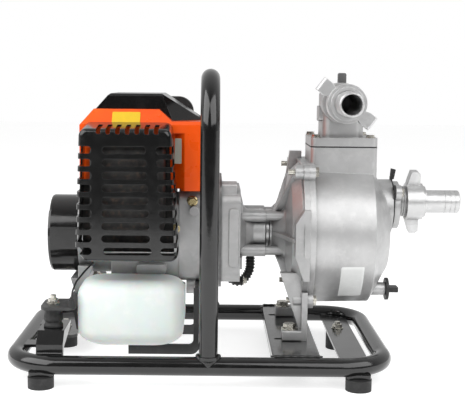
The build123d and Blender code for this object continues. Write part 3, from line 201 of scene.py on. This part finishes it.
def matte_black_plastic():
    plastic = Shader("matte_black_plastic", grey(0.022), 0.46)
    plastic.mottle(0.02, grey(0.016), grey(0.032)).edge_wear(0.0007, grey(0.09), 0.5)
    return plastic.sheen_change(0.008, 0.08).soften(0.0007).relief(0.0007, 0.00006, 0.6)


def rubber():
    soft = Shader("black_rubber", grey(0.018), 0.62)
    soft.mottle(0.012, grey(0.013), grey(0.035)).edge_wear(0.0007, grey(0.06), 0.5)
    return soft.sheen_change(0.005, 0.08).soften(0.0006).relief(0.0005, 0.00005, 0.6)


def tank_plastic():
    plastic = Shader("milky_tank_plastic", (0.74, 0.79, 0.77), 0.40, Subsurface_Weight=0.55, Subsurface_Scale=0.012)
    plastic.mottle(0.05, (0.69, 0.75, 0.73), (0.79, 0.82, 0.80))
    return plastic.sheen_change(0.01, 0.05).soften(0.0010).relief(0.004, 0.00008, 0.3)


def zinc():
    metal = Shader("zinc_plated_steel", (0.66, 0.64, 0.58), 0.27, 0.95)
    # Painted shade in the hollows of the plated parts, from ambient occlusion.
    metal.mottle(0.004, (0.50, 0.48, 0.42), (0.78, 0.77, 0.74), 4.0).painted_hollow_shade(0.003, grey(0.12), 0.6)
    return metal.sheen_change(0.002, 0.08).soften(0.0003).relief(0.0006, 0.00004, 0.5)


def gold_zinc():
    metal = Shader("yellow_zinc_steel", (0.62, 0.49, 0.24), 0.28, 0.95)
    metal.mottle(0.003, (0.42, 0.36, 0.20), (0.72, 0.60, 0.36), 4.0)
    return metal.sheen_change(0.002, 0.08).soften(0.0003).relief(0.0006, 0.00004, 0.5)


def steel(name="ground_steel", tone=0.45, roughness=0.34):
    metal = Shader(name, grey(tone), roughness, 0.95)
    # Painted shade in the hollows of the steel parts, from ambient occlusion.
    metal.mottle(0.01, grey(tone * 0.8), grey(tone * 1.15), 4.0).painted_hollow_shade(0.004, grey(tone * 0.25), 0.5)
    return metal.sheen_change(0.004, 0.08).soften(0.0004).relief(0.0008, 0.00004, 0.4, 2.0, (1, 6, 6))


def hot_iron():
    metal = Shader("heat_blackened_iron", grey(0.06, 0.04), 0.5, 0.6)
    # Painted shade in the hollows of the muffler and clutch shoes, from ambient occlusion.
    metal.mottle(0.012, grey(0.03), (0.13, 0.09, 0.07), 5.0).painted_hollow_shade(0.006, grey(0.01), 0.5)
    return metal.sheen_change(0.004, 0.1).soften(0.0006).relief(0.0008, 0.00010, 0.6)


def foam():
    soft = Shader("filter_foam", grey(0.03), 0.9)
    soft.mottle(0.006, grey(0.018), grey(0.06))
    return soft.relief(0.0009, 0.0006, 0.9)


def printed_label(name, color):
    label = Shader(name, color, 0.32, Coat_Weight=0.3, Coat_Roughness=0.1)
    label.mottle(0.02, tuple(c * 0.94 for c in color), tuple(min(c * 1.04, 1) for c in color))
    return label.sheen_change(0.01, 0.04).relief(0.0012, 0.00002, 0.3)


BLACK_PAINT = black_paint().material
PLATE_PAINT = plate_paint().material
SATIN_STEEL = satin_black_steel().material
CAST = cast_aluminium().material
DULL_CAST = cast_aluminium("dull_cast_aluminium", 0.16, 0.5).material
BRIGHT_CAST = cast_aluminium("bright_cast_aluminium", 0.54, 0.38).material
TUMBLED = machined_aluminium().material
ORANGE = orange_plastic().material
GLOSS_BLACK = gloss_black_plastic().material
MATTE_BLACK = matte_black_plastic().material
RUBBER = rubber().material
TANK = tank_plastic().material
ZINC = zinc().material
GOLD_ZINC = gold_zinc().material
STEEL = steel().material
DARK_STEEL = steel("dark_steel", 0.22, 0.42).material
HOT_IRON = hot_iron().material
FOAM = foam().material

FINISH = {
    BLACK_PAINT: ["base_frame", "handle_hoop", "rail_brackets"],
    PLATE_PAINT: ["cross_plates"],
    SATIN_STEEL: ["tank_guard", "engine_mount_bracket"],
    RUBBER: ["rubber_feet", "engine_mount_bushes", "stop_wire", "primer_bulb", "shaft_seal", "gaskets", "flap_valve"],
    ZINC: ["frame_bolts", "machine_screws", "spark_plug", "throttle_lever"],
    TANK: ["fuel_tank"],
    MATTE_BLACK: ["fuel_cap", "starter_pulley", "ignition_coil", "intake_insulator", "choke_lever", "stop_switch",
                  "air_filter_housing", "air_filter_cover", "wiring_conduit", "drain_cap"],
    CAST: ["crankcase", "cylinder", "piston", "flywheel", "clutch_housing", "adapter_housing", "pump_back_cover",
           "impeller", "carburettor", "discharge_elbow"],
    BRIGHT_CAST: ["pump_casing", "suction_flange"],
    TUMBLED: ["suction_tail", "suction_nut", "discharge_tail", "discharge_nut"],
    STEEL: ["ball_bearings", "gudgeon_pin", "connecting_rod", "crankshaft", "recoil_spring", "pump_shaft"],
    DARK_STEEL: ["clutch_back_plate", "clutch_drum"],
    DULL_CAST: ["priming_cap"],
    HOT_IRON: ["muffler", "clutch_shoes"],
    GLOSS_BLACK: ["starter_housing", "top_cover", "muffler_guard"],
    ORANGE: ["engine_shroud"],
    FOAM: ["filter_element"],
}
for material, names in FINISH.items():
    for name in names:
        node_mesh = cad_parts[name].data
        node_mesh.materials.clear()
        node_mesh.materials.append(material)


# ---------------------------------------------------------------- detail pieces
def at(x, y, z):
    """A point given in millimetres from the middle of the base frame."""
    return Vector((x - 45.3, y + 0.75, z)) * MM


def piece(name, vertices, faces, material, body="frame", smooth=True):
    mesh = bpy.data.meshes.new(name)
    mesh.from_pydata(vertices, [], faces)
    mesh.update()
    bm = bmesh.new()
    bm.from_mesh(mesh)
    bmesh.ops.remove_doubles(bm, verts=bm.verts, dist=1e-6)
    bmesh.ops.recalc_face_normals(bm, faces=bm.faces)
    bm.to_mesh(mesh)
    bm.free()
    mesh.polygons.foreach_set("use_smooth", [smooth] * len(mesh.polygons))
    mesh.materials.append(material)
    obj = bpy.data.objects.new(name, mesh)
    bpy.context.scene.collection.objects.link(obj)
    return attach(obj, body)


def loft(rings, closed=False):
    """Vertices and faces of a skin over rings of equal length, capped at both ends unless closed."""
    count = len(rings[0])
    vertices = [point for ring in rings for point in ring]
    faces = []
    for level in range(len(rings) if closed else len(rings) - 1):
        low, high = level * count, (level + 1) % len(rings) * count
        faces += [(low + k, low + (k + 1) % count, high + (k + 1) % count, high + k) for k in range(count)]
    if not closed:
        faces.append(tuple(range(count - 1, -1, -1)))
        faces.append(tuple(range(len(vertices) - count, len(vertices))))
    return vertices, faces


def smooth_path(corners, steps):
    """Points along a Catmull-Rom curve through the corners."""
    line = [corners[0] * 2 - corners[1], *corners, corners[-1] * 2 - corners[-2]]
    points = []
    for a, b, c, d in zip(line, line[1:], line[2:], line[3:]):
        for step in range(steps):
            t = step / steps
            square = (2 * a - 5 * b + 4 * c - d) * t * t
            cube = (3 * b - a - 3 * c + d) * t ** 3
            points.append(0.5 * (2 * b + (c - a) * t + square + cube))
    return points + [corners[-1]]


def swept(points, radius_at, sides=16, flat=1.0):
    """Rings around a path; radius_at gives the radius from the length so far, in metres."""
    rings, side, length = [], None, 0.0
    for index, point in enumerate(points):
        before, after = points[max(index - 1, 0)], points[min(index + 1, len(points) - 1)]
        along = (after - before).normalized()
        if side is None:
            side = along.orthogonal().normalized()
        side = (side - along * side.dot(along)).normalized()
        other = along.cross(side)
        length += (point - before).length
        radius = radius_at(length)
        angles = [TURN * k / sides for k in range(sides)]
        rings.append([point + side * math.cos(a) * radius + other * math.sin(a) * radius * flat for a in angles])
    return loft(rings)


def weld_bead(name, points, width=0.0021):
    """A ripple-textured bead that follows a seam."""
    def radius_at(length):
        return width * (1 + 0.13 * math.sin(TURN * length / 0.0019) + 0.08 * math.sin(TURN * length / 0.0083))
    vertices, faces = swept(points, radius_at, 12)
    return piece(name, vertices, faces, BLACK_PAINT)


def straight(start, end, count=60):
    return [start.lerp(end, k / count) for k in range(count + 1)]


def hoop_weld(name, side):
    """The saddle-shaped bead where the handle lands on a long rail."""
    reach = 8.8
    points = []
    for k in range(97):
        angle = TURN * k / 96
        across, along = reach * math.cos(angle), 10.6 * math.sin(angle)
        height = 22.5 + math.sqrt(max(10.2 ** 2 - min(abs(across), 9.0) ** 2, 0)) + 0.3
        points.append(at(12.3 + along, side * 120 + across, height))
    return weld_bead(name, points, 0.0020)


def conduit():
    """Corrugated split conduit with a plain cuff at its start."""
    corners = [at(59, 46, 124), at(59, 46, 104), at(58, 46, 89), at(50, 46, 77), at(40, 46, 77), at(32, 46, 86)]

    def radius_at(length):
        if length < 0.005:
            return 0.0056
        return 0.0049 + 0.0006 * math.tanh(2.5 * math.sin(TURN * length / 0.0034))
    vertices, faces = swept(smooth_path(corners, 44), radius_at, 20)
    return piece("corrugated_conduit", vertices, faces, MATTE_BLACK)


def rounded_section(x0, x1, y0, y1, z, radius, sides=10):
    """One level of the tank, a rectangle with round corners."""
    ring = []
    left, right, near, far = x0 + radius, x1 - radius, y0 + radius, y1 - radius
    corners = [(right, far, 0), (left, far, 1), (left, near, 2), (right, near, 3)]
    for cx, cy, quarter in corners:
        for k in range(sides + 1):
            angle = TURN / 4 * (quarter + k / sides)
            ring.append((cx + radius * math.cos(angle), cy + radius * math.sin(angle), z))
    return ring


def blown_tank():
    """The blow-moulded tank as one smooth skin: shoulders, a sump at the bottom and the mould's seam."""
    rings = []
    levels = 64
    bottom, top, corner = 33.6, 101.5, 15
    for level in range(levels + 1):
        z = bottom + (top - bottom) * (0.5 - 0.5 * math.cos(math.pi * level / levels))
        low, high = z - bottom, top - z
        to_end = max(corner - min(low, high), 0)
        pull = corner - math.sqrt(max(corner ** 2 - to_end ** 2, 0))
        seam = 0.7 * math.exp(-((z - 68) / 0.7) ** 2)
        sump = 5 * math.exp(-(low / 9) ** 2)
        back = 7 if z < 82 else 7 - 46 * min((z - 82) / 6, 1) ** 2 * 0.99
        left, right = -121.7 + pull + sump - seam, -13.3 - pull - sump
        section = rounded_section(left, right, -95.7 + pull, back - pull * 0.6, z, corner)
        tip = 0.0022 * max(0, (z - 60) / 42) * min(high / 12, 1) / 54
        rings.append([at(x, y, level_z) + Vector((0, 0, tip * (x + 67))) for x, y, level_z in section])
    vertices, faces = loft(rings)
    tank = piece("fuel_tank_skin", vertices, faces, TANK)
    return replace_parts(tank, "fuel_tank")


def tank_neck():
    """The filler neck and its collar, on the tank's back."""
    tilt = math.radians(30)
    along = Vector((0, math.cos(tilt), math.sin(tilt)))
    up = Vector((0, -math.sin(tilt), math.cos(tilt)))
    rings = []
    for reach, radius in ((-12, 11), (-4, 11), (0, 11.4), (3, 13.2), (4.5, 13.4), (6, 11.6), (16, 11.4), (24, 11.4)):
        centre = at(-66, 0, 60) + along * reach * MM
        angles = [TURN * k / 40 for k in range(40)]
        rings.append([centre + (Vector((1, 0, 0)) * math.cos(a) + up * math.sin(a)) * radius * MM for a in angles])
    vertices, faces = loft(rings)
    return piece("fuel_tank_neck", vertices, faces, TANK)


def fluted_bush(name, x, y):
    """Rubber mount with a waist and moulded flutes."""
    rings = []
    for level in range(25):
        z = 52.1 + 20.8 * level / 24
        waist = 9.9 - 1.6 * math.exp(-((z - 57) / 1.6) ** 2) - 0.9 * math.exp(-((z - 67) / 2.5) ** 2)
        ring = []
        for k in range(72):
            angle = TURN * k / 72
            radius = waist - 0.35 * max(0, math.cos(12 * angle)) * (1 if 3 < level < 21 else 0)
            ring.append(at(x + radius * math.cos(angle), y + radius * math.sin(angle), z))
        rings.append(ring)
    vertices, faces = loft(rings)
    return piece(name, vertices, faces, RUBBER)


def soft_plate(name, corners, lift, thickness, material, radius=1.5, body="frame"):
    """A thin plate over four corners (in order) with rounded corners and a soft rim, lifted along lift."""
    centre = sum(corners, Vector()) / 4
    ring = []
    for k, corner in enumerate(corners):
        before, after = corners[k - 1], corners[(k + 1) % 4]
        a = corner + (before - corner).normalized() * radius * MM
        b = corner + (after - corner).normalized() * radius * MM
        for step in range(7):
            t = step / 6
            ring.append(a * (1 - t) ** 2 + corner * 2 * t * (1 - t) + b * t ** 2)
    lift = lift.normalized()
    wall = [p + lift * thickness * 0.6 for p in ring]
    top = [p + (centre - p).normalized() * thickness * 0.4 + lift * thickness for p in ring]
    rings = [ring, wall, top]
    vertices, faces = loft(rings)
    return piece(name, vertices, faces, material, body, False)


def drum_label(name, x0, x1, low_angle, high_angle, material):
    """A blank sticker wrapped on the pump's drum, with its rim let down on to the casting."""
    vertices, faces = [], []
    columns, rows = 12, 24
    for row in range(rows + 1):
        angle = math.radians(low_angle + (high_angle - low_angle) * row / rows)
        for column in range(columns + 1):
            x = x0 + (x1 - x0) * column / columns
            drum = 78.0 - 1.5 * (x - 116) / 69
            rim = row in (0, rows) or column in (0, columns)
            radius = drum + (-0.3 if rim else 0.35)
            vertices.append(at(x, 12 - radius * math.cos(angle), 140 + radius * math.sin(angle)))
    for row in range(rows):
        for column in range(columns):
            k = row * (columns + 1) + column
            faces.append((k, k + 1, k + columns + 2, k + columns + 1))
    return piece(name, vertices, faces, material)


def dome_screw(name, centre, axis, radius, height, material):
    """A flange-head screw: a dished flange, a soft-edged hexagon and a chamfered top."""
    axis = axis.normalized()
    side = axis.orthogonal().normalized()
    other = axis.cross(side)
    rings = []
    flange = [(0, 1.55, 0), (0.12, 1.55, 0), (0.22, 1.25, 0)]
    hexagon = [(0.25, 1.0, 1), (0.85, 1.0, 1), (1.0, 0.86, 0.3), (1.0, 0.5, 0)]
    for lift, size, sharp in flange + hexagon:
        ring = []
        for k in range(48):
            angle = TURN * k / 48
            wedge = (angle % (TURN / 6)) - TURN / 12
            shape = (1 - sharp) + sharp * math.cos(TURN / 12) / math.cos(wedge) * 1.08
            outward = side * math.cos(angle) + other * math.sin(angle)
            ring.append(centre + (axis * lift * height + outward * radius * size * shape) * MM)
        rings.append(ring)
    vertices, faces = loft(rings)
    return piece(name, vertices, faces, material, smooth=False)


LABEL_YELLOW = printed_label("blank_yellow_label", (0.80, 0.52, 0.02)).material
LABEL_PALE = printed_label("blank_pale_label", (0.74, 0.75, 0.74)).material
BEIGE = printed_label("beige_gasket_plate", (0.36, 0.34, 0.29)).material

for side_name, side in (("near", -1), ("far", 1)):
    hoop_weld(f"weld_hoop_{side_name}", side)
    for edge in (76.8, 124.7):
        seam = straight(at(edge, side * 112.6, 32), at(edge, side * 112.6, 24))
        weld_bead(f"weld_plate_{side_name}_{edge:.0f}", seam)
    seam = straight(at(78, side * 117, 32.2), at(123.5, side * 117, 32.2))
    weld_bead(f"weld_pump_plate_{side_name}", seam, 0.0017)
    seam = straight(at(148, side * 110.8, 22.8), at(175, side * 110.8, 22.8))
    weld_bead(f"weld_end_plate_{side_name}", seam, 0.0016)
weld_bead("weld_bracket_near", straight(at(-160, -109.6, 31), at(-134, -109.6, 31)), 0.0018)
weld_bead("weld_bracket_far", straight(at(-135, 109.6, 31), at(-109, 109.6, 31)), 0.0018)
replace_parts(conduit(), "wiring_conduit")
blown_tank()
tank_neck()
near_bush = fluted_bush("bush_near", -147, -80)
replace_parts(near_bush, "engine_mount_bushes")
fluted_bush("bush_far", -122, 80)
slope = Vector((0, -22, 23)).normalized()
slope_low, slope_high = at(0, -57.0, 260.0), at(0, -46.5, 270.98)
label_corners = [(-89, slope_low), (-60, slope_low), (-60, slope_high), (-89, slope_high)]
label = [Vector((at(x, 0, 0).x, edge.y, edge.z)) for x, edge in label_corners]
soft_plate("label_shroud", label, slope, 0.0003, LABEL_YELLOW)
gasket = [at(-24, -60, 219), at(-17, -60, 219), at(-17, -60, 245), at(-24, -60, 245)]
soft_plate("muffler_gasket_plate", gasket, Vector((0, -1, 0)), 0.001, BEIGE)
drum_label("label_casing", 149, 175, -56, -20, LABEL_PALE)
dome_screw("bolt_crankcase", at(-6, -38, 178), Vector((0, -1, 0)), 3.6, 4.5, GOLD_ZINC)
dome_screw("bolt_drain", at(-24, -37, 148), Vector((0, -1, 0)), 3.2, 4.0, GOLD_ZINC)
dome_screw("bolt_clutch", at(49, -22, 90), Vector((1, 0, 0)), 3.2, 4.0, ZINC)


# ---------------------------------------------------------------- studio
def studio_world():
    """Pale surroundings behind and above, darker on the camera's side."""
    world = bpy.data.worlds.new("studio")
    bpy.context.scene.world = world
    world.use_nodes = True
    tree = world.node_tree
    background = tree.nodes["Background"]
    place = tree.nodes.new("ShaderNodeTexCoord")
    split = tree.nodes.new("ShaderNodeSeparateXYZ")
    tree.links.new(place.outputs["Generated"], split.inputs[0])
    depth = tree.nodes.new("ShaderNodeMapRange")
    depth.interpolation_type = "SMOOTHSTEP"
    for socket, value in ((1, -0.75), (2, 0.35), (3, 0.03), (4, 0.62)):
        depth.inputs[socket].default_value = value
    tree.links.new(split.outputs["Y"], depth.inputs[0])
    path = tree.nodes.new("ShaderNodeLightPath")
    blend = tree.nodes.new("ShaderNodeMix")
    tree.links.new(path.outputs["Is Camera Ray"], blend.inputs[0])
    tree.links.new(depth.outputs[0], blend.inputs[2])
    blend.inputs[3].default_value = 1.0
    tree.links.new(blend.outputs[0], background.inputs["Strength"])
    background.inputs["Color"].default_value = (1, 1, 1, 1)


def softbox(name, azimuth, elevation, distance, width, height, radiance):
    """A rectangular area light aimed at the middle of the pump."""
    light = bpy.data.lights.new(name, "AREA")
    light.shape = "RECTANGLE"
    light.size = width
    light.size_y = height
    light.energy = radiance * width * height * math.pi
    lamp = bpy.data.objects.new(name, light)
    bpy.context.scene.collection.objects.link(lamp)
    turn, lift = math.radians(azimuth), math.radians(elevation)
    away = Vector((math.sin(turn) * math.cos(lift), -math.cos(turn) * math.cos(lift), math.sin(lift)))
    lamp.location = Vector((0, 0, 0.15)) + away * distance
    lamp.rotation_euler = away.to_track_quat("Z", "Y").to_euler()
    return lamp


def pale_floor():
    mesh = bpy.data.meshes.new("floor")
    reach = 6.0
    front = -1.15
    corners = [(-reach, front, 0), (reach, front, 0), (reach, reach, 0), (-reach, reach, 0)]
    mesh.from_pydata(corners, [], [(0, 1, 2, 3)])
    floor = bpy.data.objects.new("floor", mesh)
    bpy.context.scene.collection.objects.link(floor)
    paper = Shader("pale_floor", grey(0.60), 0.7)
    paper.mottle(0.4, grey(0.59), grey(0.61))
    paper.set("Emission Color", (1, 1, 1, 1))
    paper.set("Emission Strength", 0.70)
    mesh.materials.append(paper.material)


def camera():
    """The photograph's view: level with the pump, slightly from above, almost square to its side."""
    data = bpy.data.cameras.new("camera")
    data.sensor_width = 36.0
    data.lens = 79.5
    data.shift_x = 0.0445
    data.clip_start, data.clip_end = 0.01, 50
    eye = bpy.data.objects.new("camera", data)
    bpy.context.scene.collection.objects.link(eye)
    down, roll = math.radians(7.15), 0.0093
    turn = Matrix.Rotation(math.pi / 2 - down, 4, "X") @ Matrix.Rotation(roll, 4, "Z")
    eye.matrix_world = Matrix.Translation((-0.0308, -1.11125, 0.306)) @ turn
    bpy.context.scene.camera = eye


studio_world()
softbox("softbox_left", -56, 35, 1.7, 2.0, 1.5, 3.0)
softbox("softbox_right", 40, 35, 1.7, 2.0, 1.5, 2.5)
pale_floor()
camera()
bpy.context.scene.view_settings.view_transform = "Standard"
